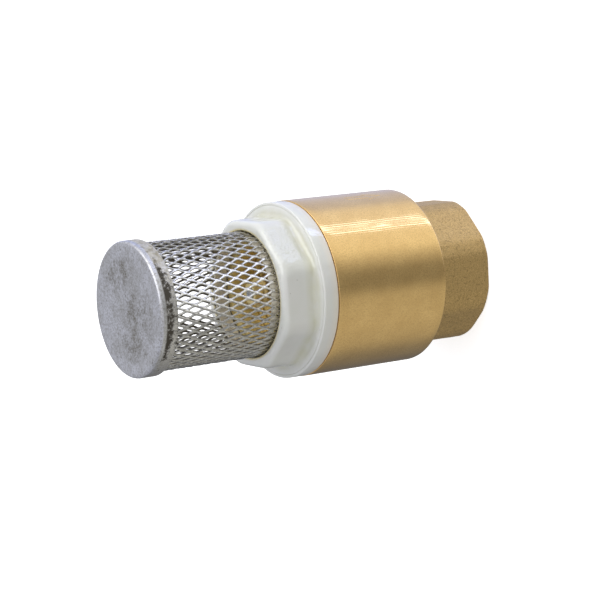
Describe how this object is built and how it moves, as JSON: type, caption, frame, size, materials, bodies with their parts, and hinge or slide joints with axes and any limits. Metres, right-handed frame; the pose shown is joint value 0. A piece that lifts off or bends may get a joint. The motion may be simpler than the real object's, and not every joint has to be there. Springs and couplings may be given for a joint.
{
  "type": "foot valve",
  "caption": "Threaded brass foot valve with a spring-closed poppet, a nylon strainer nut and a capped expanded-metal strainer.",
  "frame": {"origin": "centre of the outlet face, on the flat end of the octagonal socket", "axes": "+Z along the valve's axis from the outlet to the strainer's end cap, opposite to the flow; -Y faces one flat of each octagon; the valve stands on its outlet, upside down from how it hangs in use"},
  "size_m": [0.048, 0.048, 0.1032],
  "materials": {
    "body_brass": "turned barrel with faint chatter marks, grainy cast octagon",
    "seat_brass": "fine turned",
    "poppet_brass": "fine turned",
    "steel": "machined stainless",
    "spring_steel": "drawn wire",
    "mesh_steel": "expanded stainless sheet",
    "cap_steel": "dull pressed sheet with soldering stains",
    "nylon": "milky translucent natural nylon",
    "acetal": "machined",
    "nitrile": "moulded",
    "fibre": "pressed fibre"
  },
  "bodies": {
    "housing": {"valve_body": "body_brass", "inlet_seat": "seat_brass", "body_gasket": "fibre", "upper_guide": "seat_brass", "upper_bush": "acetal", "upper_guide_ring": "seat_brass", "lower_guide": "seat_brass", "lower_bush": "acetal", "spring_cup": "steel", "return_spring": "spring_steel", "strainer_nut": "nylon", "strainer_mesh": "mesh_steel", "end_cap": "cap_steel"},
    "poppet": {"valve_stem": "steel", "poppet_disc": "poppet_brass", "poppet_seal": "nitrile", "seal_retainer": "poppet_brass", "seal_washer": "steel", "seal_nut": "steel", "stop_washer": "poppet_brass", "stop_nut": "poppet_brass"}
  },
  "joints": [
    {"name": "poppet_lift", "type": "slide", "parent": "housing", "child": "poppet", "axis": [0, 0, -1], "range_m": [0, 0.006], "stiffness_N_per_m": 380, "springref_m": -0.003, "deforming": ["return_spring"]}
  ]
}
